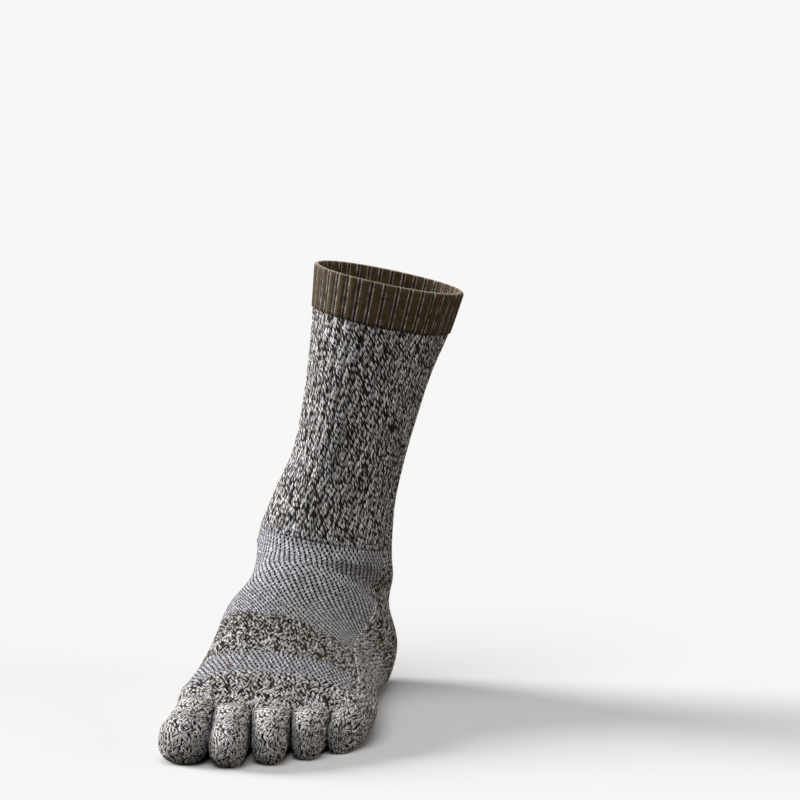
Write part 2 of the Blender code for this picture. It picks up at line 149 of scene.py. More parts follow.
# %% The surface
def blend_rows(place):
    """The section at any place, on a smooth curve through the table's rows."""
    last = len(ROWS) - 1
    index = min(max(int(math.floor(place)), 0), last - 1)
    part = place - index
    before, start = ROWS[max(index - 1, 0)], ROWS[index]
    end, after = ROWS[index + 1], ROWS[min(index + 2, last)]
    slope_start = (end - before) / 2 if index > 0 else end - start
    slope_end = (after - start) / 2 if index < last - 1 else end - start
    square, cube = part ** 2, part ** 3
    return Section(*((2 * cube - 3 * square + 1) * start + (cube - 2 * square + part) * slope_start
                     + (3 * square - 2 * cube) * end + (cube - square) * slope_end))


def signed_power(value, squareness):
    return np.sign(value) * np.abs(value) ** (2 / squareness)


def section(place, angles):
    """Points on the outer surface at one place, for an array of angles."""
    form = blend_rows(place)
    cosine, sine = np.cos(angles), np.sin(angles)
    above = cosine >= 0
    squareness = np.where(above, form.square_top, form.square_bottom)
    along, across = signed_power(cosine, squareness), signed_power(sine, squareness)
    middle_reach = form.front_reach + (form.back_reach - form.front_reach) * form.side
    middle_height = form.front_height + (form.back_height - form.front_height) * form.side
    sideways = (across * np.where(sine >= 0, form.half_out, form.half_in)
                + np.where(above, form.crest * along, 0))
    reach = middle_reach + along * np.where(above, form.front_reach - middle_reach,
                                            middle_reach - form.back_reach)
    height = middle_height + along * np.where(above, form.front_height - middle_height,
                                              middle_height - form.back_height)
    tilt = math.radians(form.roll)
    reach = reach + form.skew * sideways
    height = np.maximum(height - sideways * math.sin(tilt), 0.0)
    x = form.middle + sideways * math.cos(tilt)
    return np.stack([x, FOOT_LENGTH / 2 - reach, height], axis=1)


print("section at the ball:", section(BALL, np.radians([0, 90, 180, 270])).round(4).tolist())

# %% [markdown]
# ## From a form to a knitted sheet
# Knitting is a net of loops of one size. Columns of loops are wales, rows of loops are
# courses. So the points of each row are spread evenly round the foot, which keeps the loops
# equally wide, and the courses are counted along each wale by its real length.

# %% Even spacing
WALE_COUNT = RIB_COUNT * WALES_PER_RIB
COURSE_PITCH = 0.00145
WALE_PITCH = 0.00148
RING_SAMPLES = 400
LINE_SAMPLES = 240


def running_length(points):
    """How far each row lies from the first, measured along every column."""
    steps = np.linalg.norm(np.diff(points, axis=0), axis=-1)
    return np.concatenate([np.zeros((1,) + steps.shape[1:]), np.cumsum(steps, axis=0)])


def even_line(points, parts):
    """Points spread evenly along a line of points."""
    length = running_length(points)
    wanted = np.linspace(0, length[-1], parts + 1)
    return np.stack([np.interp(wanted, length, points[:, axis]) for axis in range(3)], axis=1)


def even_places(start, end, angle, pitch):
    """Places between two sections, evenly spaced along the line at one angle."""
    fine = np.linspace(start, end, LINE_SAMPLES)
    line = np.array([section(place, np.array([angle]))[0] for place in fine])
    length = running_length(line)
    rows = max(int(round(length[-1] / pitch)), 3)
    return np.interp(np.linspace(0, length[-1], rows + 1), length, fine)


print("places down the leg:", len(even_places(0.0, ANKLE, 0.0, COURSE_PITCH)))


# %% Outward normals
def outward(points, closed):
    """Normals of a sheet whose rows run down the sock and whose columns run round it."""
    down = np.gradient(points, axis=0)
    around = np.gradient(points, axis=1)
    if closed:
        around[:, 0] = around[:, -1] = (points[:, 1] - points[:, -2]) / 2
    normal = np.cross(down, around)
    return normal / np.maximum(np.linalg.norm(normal, axis=2, keepdims=True), 1e-12)


# %% [markdown]
# A sheet starts as a flat grid from `create_grid`. Its points are then moved onto the form, and
# the seam of a tube is welded. One UV map takes the stitch counts. A second one counts the
# courses from the sheet's first row and to its last, for yarns that change near an edge.

# %% Laying a sheet on the form
def lay_sheet(name, points, wales, courses):
    """A grid of knit on an array of points, with stitch counts as its UV maps."""
    rows, columns = points.shape[0] - 1, points.shape[1] - 1
    bm = bmesh.new()
    bmesh.ops.create_grid(bm, x_segments=columns, y_segments=rows, size=0.5)
    mesh = bpy.data.meshes.new(name)
    bm.to_mesh(mesh)
    bm.free()
    flat = np.empty(len(mesh.vertices) * 3)
    mesh.vertices.foreach_get("co", flat)
    flat = flat.reshape(-1, 3)
    column = np.rint((flat[:, 0] + 0.5) * columns).astype(int)
    row = np.rint((flat[:, 1] + 0.5) * rows).astype(int)
    mesh.vertices.foreach_set("co", (points[row, column] - MIDDLE_OF_SOCK).ravel())
    corners = np.empty(len(mesh.loops), dtype=np.int32)
    mesh.loops.foreach_get("vertex_index", corners)
    from_start, to_end = courses - courses[0], courses[-1] - courses
    for label, first, second in (("stitches", wales, courses), ("edges", from_start, to_end)):
        counts = np.stack([first[row, column], second[row, column]], axis=1)[corners]
        mesh.uv_layers.new(name=label).data.foreach_set("uv", counts.ravel())
    return mesh


# %% Closing and turning a sheet
WELD_DISTANCE = 1e-6


def close_sheet(mesh, points, normals):
    """Welds the edges that meet, and turns the faces of an open sheet outwards."""
    bm = bmesh.new()
    bm.from_mesh(mesh)
    bmesh.ops.remove_doubles(bm, verts=bm.verts, dist=WELD_DISTANCE)
    bm.faces.ensure_lookup_table()
    bm.normal_update()
    face = bm.faces[len(bm.faces) // 2]
    centre = np.array(face.calc_center_median()) + MIDDLE_OF_SOCK
    nearest = np.argmin(np.linalg.norm(points.reshape(-1, 3) - centre, axis=1))
    if face.normal.dot(Vector(normals.reshape(-1, 3)[nearest])) < 0:
        bmesh.ops.reverse_faces(bm, faces=bm.faces)
    bm.to_mesh(mesh)
    bm.free()


def close_ring(mesh, fill_ends=False):
    """Welds a sheet that closes on itself, and turns its faces outwards."""
    bm = bmesh.new()
    bm.from_mesh(mesh)
    bmesh.ops.remove_doubles(bm, verts=bm.verts, dist=WELD_DISTANCE)
    if fill_ends:
        bmesh.ops.holes_fill(bm, edges=bm.edges, sides=0)
    bmesh.ops.recalc_face_normals(bm, faces=bm.faces)
    if bm.calc_volume(signed=True) < 0:
        bmesh.ops.reverse_faces(bm, faces=bm.faces)
    bm.to_mesh(mesh)
    bm.free()


# %% Finishing a piece
def finish_piece(name, mesh, material, thickness=WALL):
    """Gives a mesh its yarn, and its wall where it is a sheet, and lets it ride on the sock."""
    mesh.shade_smooth()
    piece = bpy.data.objects.new(name + "_knit", mesh)
    bpy.context.scene.collection.objects.link(piece)
    piece.data.materials.append(material)
    if thickness:
        wall = piece.modifiers.new("wall", "SOLIDIFY")
        wall.thickness = thickness
        wall.offset = -1.0
        wall.use_even_offset = False
    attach(piece, "root")
    print(name, "faces", len(mesh.polygons), "size mm",
          [round(size * 1000, 1) for size in piece.dimensions])
    return piece


# %% [markdown]
# ## The yarn
# The marl yarn is an off-white strand twisted with a dark olive one. On the face of a knit
# each loop shows as slanted legs, and each leg shows one strand or the other. An image of knit
# would blur in close views. A Voronoi pattern on the stitch counts gives every leg a cell of
# its own, with a middle, a random number that picks its strand, and dark edges: partly the
# dark strand and partly painted shade in the gaps between the legs.

# %% Small helpers for shader nodes
def calc(tree, operation, *inputs):
    node = tree.nodes.new("ShaderNodeMath")
    node.operation = operation
    for socket, value in zip(node.inputs, inputs):
        if isinstance(value, (int, float)):
            socket.default_value = value
        else:
            tree.links.new(value, socket)
    return node.outputs[0]


def soft_step(tree, value, low, high):
    node = tree.nodes.new("ShaderNodeMapRange")
    node.interpolation_type = "SMOOTHSTEP"
    tree.links.new(value, node.inputs["Value"])
    node.inputs["From Min"].default_value = low
    node.inputs["From Max"].default_value = high
    return node.outputs["Result"]


def mix(tree, share, first, second, blend="MIX"):
    node = tree.nodes.new("ShaderNodeMix")
    node.data_type = "RGBA"
    node.blend_type = blend
    inputs = ((node.inputs[0], share), (node.inputs[6], first), (node.inputs[7], second))
    for socket, value in inputs:
        if isinstance(value, tuple):
            socket.default_value = (*value, 1.0)
        elif isinstance(value, (int, float)):
            socket.default_value = value
        else:
            tree.links.new(value, socket)
    return node.outputs[2]


def darken(tree, colour, shade):
    """A colour times a shade of grey."""
    grey = tree.nodes.new("ShaderNodeCombineColor")
    for socket in grey.inputs:
        tree.links.new(shade, socket)
    return mix(tree, 1.0, colour, grey.outputs[0], blend="MULTIPLY")


def choose(tree, share, first, second):
    """The first number where the share is 0, the second where it is 1."""
    return calc(tree, "ADD", calc(tree, "MULTIPLY", first, calc(tree, "SUBTRACT", 1.0, share)),
                calc(tree, "MULTIPLY", second, share))


def drift(tree, wale, course, waves, detail=1.0):
    """Soft noise over the stitches, with so many waves to a wale and to a course."""
    place = tree.nodes.new("ShaderNodeCombineXYZ")
    for socket, count, per_stitch in zip(place.inputs, (wale, course), waves):
        tree.links.new(calc(tree, "MULTIPLY", count, per_stitch), socket)
    node = tree.nodes.new("ShaderNodeTexNoise")
    node.noise_dimensions = "2D"
    node.inputs["Scale"].default_value = 1.0
    node.inputs["Detail"].default_value = detail
    tree.links.new(place.outputs[0], node.inputs["Vector"])
    return node.outputs["Fac"]


# %% A knit's shader
def uv_counts(tree, label):
    uv = tree.nodes.new("ShaderNodeUVMap")
    uv.uv_map = label
    split = tree.nodes.new("ShaderNodeSeparateXYZ")
    tree.links.new(uv.outputs[0], split.inputs[0])
    return split.outputs[0], split.outputs[1]


def new_knit(name):
    material = bpy.data.materials.new(name)
    material.use_nodes = True
    return material, material.node_tree, material.node_tree.nodes["Principled BSDF"]


BUMP_STRENGTH = 0.8
YARN_ROUGHNESS = 0.98
WORN_SMOOTH = 0.12
YARN_SPECULAR = 0.15


def connect(tree, shader, colour, height, relief):
    """Joins a colour and a height to the shader, with the soft look of spun yarn."""
    bump = tree.nodes.new("ShaderNodeBump")
    bump.inputs["Strength"].default_value = BUMP_STRENGTH
    bump.inputs["Distance"].default_value = relief
    tree.links.new(height, bump.inputs["Height"])
    tree.links.new(bump.outputs[0], shader.inputs["Normal"])
    tree.links.new(colour, shader.inputs["Base Color"])
    rough = calc(tree, "MULTIPLY_ADD", height, -WORN_SMOOTH, YARN_ROUGHNESS)
    tree.links.new(rough, shader.inputs["Roughness"])
    shader.inputs["Specular IOR Level"].default_value = YARN_SPECULAR


# %% Loop legs
LOOP_SLANT = 0.62
LOOP_LENGTH = 0.52
LOOP_WIDTH = 1.60
LOOP_STAGGER = 0.38
LOOP_JITTER = 0.62
LOOP_EDGE = (0.14, 0.54)
OTHER_LEGS_OFFSET = 57.3
LEAN_WAVES = (0.42, 0.30)
LEAN_LIMIT = 0.52


def loop_legs(tree, wale, course, slant, offset):
    """Slanted legs: the distance from the middle of each, its number and its tint."""
    place = tree.nodes.new("ShaderNodeCombineXYZ")
    across = calc(tree, "MULTIPLY_ADD", course, -slant, wale)
    across = calc(tree, "MULTIPLY_ADD", across, LOOP_WIDTH, offset)
    tree.links.new(across, place.inputs[0])
    tree.links.new(calc(tree, "MULTIPLY_ADD", course, LOOP_LENGTH,
                        calc(tree, "MULTIPLY", across, LOOP_STAGGER)), place.inputs[1])
    cells = tree.nodes.new("ShaderNodeTexVoronoi")
    cells.voronoi_dimensions = "2D"
    cells.inputs["Scale"].default_value = 1.0
    cells.inputs["Randomness"].default_value = LOOP_JITTER
    tree.links.new(place.outputs[0], cells.inputs["Vector"])
    split = tree.nodes.new("ShaderNodeSeparateColor")
    tree.links.new(cells.outputs["Color"], split.inputs[0])
    return cells.outputs["Distance"], split.outputs[0], split.outputs[1]


def yarn_legs(tree, plain):
    """The legs of a knit. In plain knit they lean both ways, in patches of a few stitches."""
    wale, course = uv_counts(tree, "stitches")
    legs = loop_legs(tree, wale, course, LOOP_SLANT, 0.0)
    if plain:
        others = loop_legs(tree, wale, course, -LOOP_SLANT, OTHER_LEGS_OFFSET)
        side = calc(tree, "GREATER_THAN", drift(tree, wale, course, LEAN_WAVES), LEAN_LIMIT)
        legs = [choose(tree, side, one, other) for one, other in zip(legs, others)]
    distance, number, tint = legs
    height = calc(tree, "SUBTRACT", 1.0, soft_step(tree, distance, *LOOP_EDGE))
    return {"wale": wale, "course": course, "height": height, "number": number, "tint": tint}


# %% The marl
# Near-black painted shade, for the gaps between the legs, the rib grooves and the vent's holes
GAP_SHADE = (0.006, 0.005, 0.004)
OLIVE_STRAND = (0.045, 0.040, 0.026)
COOL_STRAND = (0.72, 0.70, 0.76)
STRAND_BLEND = 0.15
COOL_TINTS = (0.45, 0.75)
MARL_WAVES = (0.11, 0.09)
# How much a tint or a cloud adds to the shade, and the shade without it
MARL_TINT = (0.70, 0.60)
MARL_CLOUDS = (1.0, 0.55)
# How the painted shade in the gaps closes in from the middle of a leg
ROUND_LEG_SHADE = 0.8
MARL_BUMP = 0.0005


def marl_colour(tree, legs, light, light_share):
    """One strand or the other on each leg, with painted shade between the legs."""
    limit = 1 - light_share
    share = soft_step(tree, legs["number"], limit - STRAND_BLEND, limit + STRAND_BLEND)
    pale = mix(tree, soft_step(tree, legs["tint"], *COOL_TINTS), light, COOL_STRAND)
    colour = mix(tree, share, OLIVE_STRAND, pale)
    clouds = drift(tree, legs["wale"], legs["course"], MARL_WAVES, detail=3.0)
    shade = calc(tree, "MULTIPLY", calc(tree, "MULTIPLY_ADD", legs["tint"], *MARL_TINT),
                 calc(tree, "MULTIPLY_ADD", clouds, *MARL_CLOUDS))
    colour = darken(tree, colour, shade)
    # Painted shade in the gaps between the legs, partly over the dark strand
    return mix(tree, calc(tree, "POWER", legs["height"], ROUND_LEG_SHADE), GAP_SHADE, colour)


def marl_knit(name, light, light_share, plain=True):
    material, tree, shader = new_knit(name)
    legs = yarn_legs(tree, plain)
    colour = marl_colour(tree, legs, light, light_share)
    connect(tree, shader, colour, legs["height"], MARL_BUMP)
    return material


# %% The marls of the toes, the sole and the heel
TOE_MARL = marl_knit("toe_marl", (0.98, 0.95, 0.89), 0.84)
FOOT_MARL = marl_knit("plain_marl", (0.97, 0.94, 0.88), 0.84)
HEEL_MARL = marl_knit("heel_marl", (0.88, 0.82, 0.72), 0.70)
print("marls:", [m.name for m in (TOE_MARL, FOOT_MARL, HEEL_MARL)])

# %% [markdown]
# The vent over the instep is an open knit: pale lilac-grey yarn with small holes, painted
# near-black as shade. The holes step one wale aside from course to course, as in twill.
# The machine changes yarns stitch by stitch, so the marl strays into the vent's first courses.

# %% The vent's knit
VENT_YARN = (0.63, 0.62, 0.67)
VENT_COURSE = 0.72
VENT_WAVES = (0.35, 0.35)
HOLE_LEAN = 0.50
HOLE_LENGTH = 0.5
HOLE_EDGE = (0.60, 1.00)
RAGGED_WAVES = (0.9, 0.9)
RAGGED_EDGE = 1.1
# Painted shade between the vent's legs: how much a leg's height adds, and the value without it
VENT_LEG_SHADE = (0.65, 0.35)
VENT_CLOUDS = (0.9, 0.60)
VENT_TINT = (0.5, 0.75)


def vent_holes(tree, wale, course):
    """The lattice of holes, one in every second stitch, with ragged edges."""
    numbers = calc(tree, "ADD", calc(tree, "FLOOR", wale), calc(tree, "FLOOR", course))
    halves = calc(tree, "FRACT", calc(tree, "MULTIPLY", numbers, 0.5))
    has_hole = calc(tree, "LESS_THAN", halves, 0.25)
    x = calc(tree, "MULTIPLY_ADD", calc(tree, "FRACT", wale), 2.0, -1.0)
    y = calc(tree, "MULTIPLY_ADD", calc(tree, "FRACT", course), 2.0, -1.0)
    across = calc(tree, "MULTIPLY_ADD", y, -HOLE_LEAN, x)
    square = calc(tree, "ADD", calc(tree, "MULTIPLY", across, across),
                  calc(tree, "MULTIPLY", calc(tree, "MULTIPLY", y, y), HOLE_LENGTH))
    ragged = drift(tree, wale, course, RAGGED_WAVES)
    near = calc(tree, "MULTIPLY_ADD", ragged, -RAGGED_EDGE,
                calc(tree, "ADD", calc(tree, "SQRT", square), RAGGED_EDGE / 2))
    hole = calc(tree, "SUBTRACT", 1.0, soft_step(tree, near, *HOLE_EDGE))
    return calc(tree, "MULTIPLY", has_hole, hole)


def vent_colour(tree, legs):
    """Pale yarn with painted shade between its legs and in its holes, and how deep the holes are.
    """
    wale, course = legs["wale"], calc(tree, "MULTIPLY", legs["course"], VENT_COURSE)
    hole = vent_holes(tree, wale, course)
    clouds = drift(tree, wale, course, VENT_WAVES, detail=3.0)
    # Painted shade between the legs, times random clouds and tints of tone
    shade = calc(tree, "MULTIPLY_ADD", legs["height"], *VENT_LEG_SHADE)
    shade = calc(tree, "MULTIPLY", shade, calc(tree, "MULTIPLY_ADD", clouds, *VENT_CLOUDS))
    shade = calc(tree, "MULTIPLY", shade, calc(tree, "MULTIPLY_ADD", legs["tint"], *VENT_TINT))
    # The holes are painted with the near-black of the gap shade
    return mix(tree, hole, darken(tree, VENT_YARN, shade), GAP_SHADE), hole


# %% [markdown]
# Where the vent meets the marl no edge is sharp. A share that is 1 in the vent and 0 in the
# marl comes from the courses counted from the piece's own edge, pushed to and fro by noise. One
# stitch of the strip is discoloured, and Object coordinates put that fleck in its place.

# %% Marl and vent in one knit
FRAY = 8.0
FRAY_WAVES = (0.50, 0.75)
FRAY_EDGE = 0.7
# Where the painted shade of the rib grooves starts, and how strong it is
RIB_GROOVE = (0.2, 1.0)
RIB_SHADE = 0.5
BAND_BUMP = 0.0006
FLECK_COLOUR = (0.115, 0.045, 0.022)
FLECK_PLACE = (-0.0358, -0.0603, 0.0396)
FLECK_RADII = (0.0006, 0.0030)
FLECK_STRENGTH = 0.75


def near_fleck(tree, place):
    """How near a point of the piece is to the one discoloured spot of yarn."""
    here = tree.nodes.new("ShaderNodeTexCoord")
    apart = tree.nodes.new("ShaderNodeVectorMath")
    apart.operation = "DISTANCE"
    apart.inputs[1].default_value = place
    tree.links.new(here.outputs["Object"], apart.inputs[0])
    return calc(tree, "SUBTRACT", 1.0, soft_step(tree, apart.outputs["Value"], *FLECK_RADII))


def vent_share(tree, legs, at_start, at_end, between):
    """1 in the vent and 0 in the marl, with a frayed edge between them."""
    from_start, to_end = uv_counts(tree, "edges")
    inside = calc(tree, "MAXIMUM", calc(tree, "SUBTRACT", at_start, from_start),
                  calc(tree, "SUBTRACT", at_end, to_end))
    if between:
        first, last = between
        inside = calc(tree, "MINIMUM", inside, calc(tree, "SUBTRACT", legs["wale"], first))
        inside = calc(tree, "MINIMUM", inside, calc(tree, "SUBTRACT", last, legs["wale"]))
    stray = drift(tree, legs["wale"], legs["course"], FRAY_WAVES, detail=2.0)
    stray = calc(tree, "MULTIPLY", calc(tree, "SUBTRACT", stray, 0.5), FRAY)
    return soft_step(tree, calc(tree, "ADD", inside, stray), -FRAY_EDGE, FRAY_EDGE)


def banded_knit(name, light, light_share, at_start, at_end, between=None, ribbed=False,
                fleck=None):
    """Marl, with the vent's knit so many courses in from each end, between two wales."""
    material, tree, shader = new_knit(name)
    legs = yarn_legs(tree, not ribbed)
    vent, hole = vent_colour(tree, legs)
    marl = marl_colour(tree, legs, light, light_share)
    if ribbed:
        # Painted shade in the rib grooves: part of each rib is mixed towards near-black
        turn = calc(tree, "MULTIPLY", legs["wale"], 2 * math.pi / WALES_PER_RIB)
        groove_shade = soft_step(tree, calc(tree, "COSINE", turn), *RIB_GROOVE)
        marl = mix(tree, calc(tree, "MULTIPLY", groove_shade, RIB_SHADE), marl, GAP_SHADE)
    share = vent_share(tree, legs, at_start, at_end, between)
    colour = mix(tree, share, marl, vent)
    if fleck:
        spot = calc(tree, "MULTIPLY", near_fleck(tree, fleck), FLECK_STRENGTH)
        colour = mix(tree, spot, colour, FLECK_COLOUR)
    height = calc(tree, "SUBTRACT", legs["height"], calc(tree, "MULTIPLY", hole, share))
    connect(tree, shader, colour, height, BAND_BUMP)
    return material


# %% [markdown]
# Each piece near a vent gets its own mix: the leg's last courses in front, the vent itself, the
# marl band, the narrow strip, and the forefoot, whose first courses are open knit on top.

# %% The knits of the leg and the instep
WHOLE = 400.0
LEG_FRONT = (0.30 * WALE_COUNT, 0.68 * WALE_COUNT)
STRIP_WALES = (4.0, WALE_COUNT // 2 - 3.5)
LEG_MARL = banded_knit("ribbed_marl", (0.90, 0.87, 0.82), 0.76, -WHOLE, 1.5, LEG_FRONT,
                       ribbed=True)
VENT_KNIT = banded_knit("vent_knit", (0.90, 0.87, 0.80), 0.74, WHOLE, WHOLE, (4.5, WHOLE))
BAND_MARL = banded_knit("band_marl", (0.82, 0.78, 0.68), 0.54, 0.6, 1.2)
STRIP_KNIT = banded_knit("strip_knit", (0.88, 0.84, 0.78), 0.72, WHOLE, WHOLE, STRIP_WALES,
                         fleck=FLECK_PLACE)
FOREFOOT_MARL = banded_knit("forefoot_marl", (0.90, 0.87, 0.80), 0.72, 3.4, -WHOLE, (12.0, 66.0))
print("shader nodes in the leg's knit:", len(LEG_MARL.node_tree.nodes))

# %% [markdown]
# The welt is a ribbed band of one olive-brown yarn, folded double. Between two ribs the
# elastic pulls the knit in, and a pair of paler threads shows there. The grooves and the
# edges of the courses are painted darker as shade, and a painted highlight on the fold draws
# a thin light line along the rim.

# %% The welt's knit
WELT_YARN = (0.056, 0.037, 0.017)
PALE_THREAD = (0.38, 0.37, 0.36)
# Painted shade in the grooves between the welt's ribs
WELT_GROOVE_SHADE = (0.012, 0.009, 0.005)
# Painted highlight along the fold of the rim, pale tan
FOLD_HIGHLIGHT = (0.40, 0.31, 0.23)
WELT_WAVES = (0.8, 0.35)
# How much a cloud or a row adds, and the value without it. A row is painted shade, darker at the
# edges of each course
THREAD_CLOUDS = (2.2, -0.45)
THREAD_ROW_SHADE = (0.5, 0.5)
WELT_ROW_SHADE = (0.10, 0.90)
WELT_CLOUDS = (1.5, 0.25)
WELT_BUMP = 0.0001
# Shares of half a rib, out from the middle of a groove
GROOVE_EDGE = (0.02, 0.18)
THREAD_START = (0.18, 0.27)
THREAD_END = (0.31, 0.42)
# Courses on each side of the fold
FOLD_EDGE = (0.25, 0.85)
# How strongly the painted highlight pales the fold
FOLD_HIGHLIGHT_STRENGTH = 0.8


def welt_knit(name, fold_course):
    material, tree, shader = new_knit(name)
    wale, course = uv_counts(tree, "stitches")
    in_rib = calc(tree, "FRACT", calc(tree, "MULTIPLY", wale, 1 / WALES_PER_RIB))
    off_groove = calc(tree, "ABSOLUTE", calc(tree, "MULTIPLY_ADD", in_rib, 2.0, -1.0))
    from_groove = calc(tree, "SUBTRACT", 1.0, off_groove)
    thread = calc(tree, "MULTIPLY", soft_step(tree, from_groove, *THREAD_START),
                  calc(tree, "SUBTRACT", 1.0, soft_step(tree, from_groove, *THREAD_END)))
    groove_shade = calc(tree, "SUBTRACT", 1.0, soft_step(tree, from_groove, *GROOVE_EDGE))
    clouds = drift(tree, wale, course, WELT_WAVES, detail=3.0)
    # Each course is painted darker at its edges, as shade between the courses
    in_course = calc(tree, "FRACT", course)
    row = calc(tree, "MULTIPLY", calc(tree, "MULTIPLY", in_course, 4.0),
               calc(tree, "SUBTRACT", 1.0, in_course))
    faint = calc(tree, "MULTIPLY", thread, calc(tree, "MULTIPLY_ADD", clouds, *THREAD_CLOUDS))
    faint = calc(tree, "MULTIPLY", faint, calc(tree, "MULTIPLY_ADD", row, *THREAD_ROW_SHADE))
    colour = mix(tree, faint, WELT_YARN, PALE_THREAD)
    # Painted shade in the grooves between the ribs
    colour = mix(tree, groove_shade, colour, WELT_GROOVE_SHADE)
    # Painted shade between the courses, times random clouds of tone
    shade = calc(tree, "MULTIPLY_ADD", row, *WELT_ROW_SHADE)
    shade = calc(tree, "MULTIPLY", shade, calc(tree, "MULTIPLY_ADD", clouds, *WELT_CLOUDS))
    colour = darken(tree, colour, shade)
    # A painted highlight on the top of the fold: its courses are mixed towards pale tan
    off_fold = calc(tree, "ABSOLUTE", calc(tree, "SUBTRACT", course, fold_course))
    fold_highlight = calc(tree, "SUBTRACT", 1.0, soft_step(tree, off_fold, *FOLD_EDGE))
    colour = mix(tree, calc(tree, "MULTIPLY", fold_highlight, FOLD_HIGHLIGHT_STRENGTH), colour, FOLD_HIGHLIGHT)
    connect(tree, shader, colour, row, WELT_BUMP)
    return material


# %% [markdown]
# ## Relief
# Wales stand up as fine columns with a groove between them, and a ribbed knit has a broad
# ridge and a groove for every four wales. Both are real relief here, not only bump, because
# they show at the outline of the leg and the cuff.

# %% Relief of wales and ribs
WALE_DEPTH = 0.00022


def wale_relief(wales):
    return -WALE_DEPTH * (1 + np.cos(2 * math.pi * wales)) / 2


def rib_relief(wales, depth):
    ridge = (1 - np.cos(2 * math.pi * wales / WALES_PER_RIB)) / 2
    return -depth * (1 - ridge ** 0.7)


def counts_of(points, wale_count):
    """Stitch counts for a sheet: wales by share of the row, courses by length down each wale."""
    columns = points.shape[1] - 1
    wales = np.broadcast_to(np.linspace(0, wale_count, columns + 1), points.shape[:2])
    return wales, running_length(points) / COURSE_PITCH


# %% [markdown]
# ## The instep bands, the heel and the sole
# These five zones are panels: the bands lie over the instep between two side seams, the heel
# and the sole go round underneath. Each takes half of the wales.

# %% Panels
COLUMNS_PER_WALE = 2
PANEL_WALES = WALE_COUNT // 2
BAND_ROWS = 0.0013
SOLE_ROWS = 0.0020


def instep_edges(place):
    edge = math.radians(blend_rows(place).band_angle)
    return -edge, edge


def bottom_edges(place):
    edge = math.radians(blend_rows(place).band_angle)
    return edge, 2 * math.pi - edge


def panel_points(places, edges):
    columns = PANEL_WALES * COLUMNS_PER_WALE
    return np.array([even_line(section(place, np.linspace(*edges(place), RING_SAMPLES)), columns)
                     for place in places])


def knit_panel(name, start, end, edges, middle_angle, row_pitch, material):
    places = even_places(start, end, middle_angle, row_pitch)
    points = panel_points(places, edges)
    wales, courses = counts_of(points, PANEL_WALES)
    normals = outward(points, False)
    points = points + normals * wale_relief(wales)[..., None]
    mesh = lay_sheet(name, points, wales, courses)
    close_sheet(mesh, points, normals)
    piece = finish_piece(name, mesh, material)
    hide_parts(name)


knit_panel("instep_vent", ANKLE, VENT_END, instep_edges, 0.0, BAND_ROWS, VENT_KNIT)
knit_panel("midfoot_band", VENT_END, BAND_END, instep_edges, 0.0, BAND_ROWS, BAND_MARL)
knit_panel("vent_strip", BAND_END, BALL, instep_edges, 0.0, BAND_ROWS, STRIP_KNIT)
knit_panel("heel", ANKLE, HEEL_END, bottom_edges, math.pi, SOLE_ROWS, HEEL_MARL)
knit_panel("sole", HEEL_END, BALL, bottom_edges, math.pi, SOLE_ROWS, FOOT_MARL)

# %% [markdown]
# Where the instep bands meet the sole and the heel, a pale linking thread runs down each side.
# It is a thin cord of stitches on the surface, swept along the edge of the bands.

# %% Side seams
SEAM_THREAD = marl_knit("linking_thread", (1.0, 0.98, 0.94), 1.2, plain=False)
SEAM_RADIUS = 0.0007
SEAM_SIDES = 8
SEAM_START = ANKLE + 0.3
SEAM_ANGLE = math.radians(70)
SEAM_ROWS = 0.0012
SEAM_SWELL = 0.25
SEAM_STITCH = 1.5 * COURSE_PITCH
SEAM_TAPER = 0.002
SEAM_TIP = 0.05


def seam_line(side):
    """A line down one edge of the instep bands, with the directions out of and across it."""
    places = even_places(SEAM_START, BALL, side * SEAM_ANGLE, SEAM_ROWS)
    line = np.array([section(place, np.array([side * instep_edges(place)[1]]))[0]
                     for place in places])
    along = np.gradient(line, axis=0)
    along /= np.linalg.norm(along, axis=1, keepdims=True)
    inside = np.array([section(place, np.radians([0.0, 180.0])).mean(axis=0) for place in places])
    out = line - inside
    out -= along * (out * along).sum(axis=1, keepdims=True)
    out /= np.linalg.norm(out, axis=1, keepdims=True)
    return line, out, np.cross(along, out)


def side_seam(name, side):
    line, out, across = seam_line(side)
    length = running_length(line)
    swell = 1 + SEAM_SWELL * np.cos(2 * math.pi * length / SEAM_STITCH)
    taper = np.clip(np.minimum(length, length[-1] - length) / SEAM_TAPER, SEAM_TIP, 1)
    radius = (SEAM_RADIUS * swell * taper)[:, None, None]
    turns = np.linspace(0, 2 * math.pi, SEAM_SIDES + 1)[None, :, None]
    points = line[:, None] + radius * (out[:, None] * np.cos(turns)
                                       + across[:, None] * np.sin(turns))
    wales = np.broadcast_to(np.linspace(0, 2, SEAM_SIDES + 1), points.shape[:2])
    mesh = lay_sheet(name, points, wales, running_length(points) / COURSE_PITCH)
    close_ring(mesh, fill_ends=True)
    finish_piece(name, mesh, SEAM_THREAD, thickness=0)


side_seam("outer_side_seam", 1)
side_seam("inner_side_seam", -1)

# %% [markdown]
# ## The leg and the cuff
# The leg is a ribbed tube. The cuff is the same tube folded over on itself: its sheet goes up
# the outside, round the fold and down the inside, and meets itself again at the foot.

# %% Rings round the leg
TUBE_COLUMNS = WALE_COUNT * COLUMNS_PER_WALE
LEG_ROWS = 0.0022
HALVINGS = 40


def place_at_height(height):
    """The place on the leg whose middle lies at a height."""
    low, high = 0.0, ANKLE
    for _ in range(HALVINGS):
        middle = (low + high) / 2
        form = blend_rows(middle)
        if (form.front_height + form.back_height) / 2 > height:
            low = middle
        else:
            high = middle
    return low


def leg_points(places):
    angles = np.linspace(-math.pi, math.pi, RING_SAMPLES)
    return np.array([even_line(section(place, angles), TUBE_COLUMNS) for place in places])


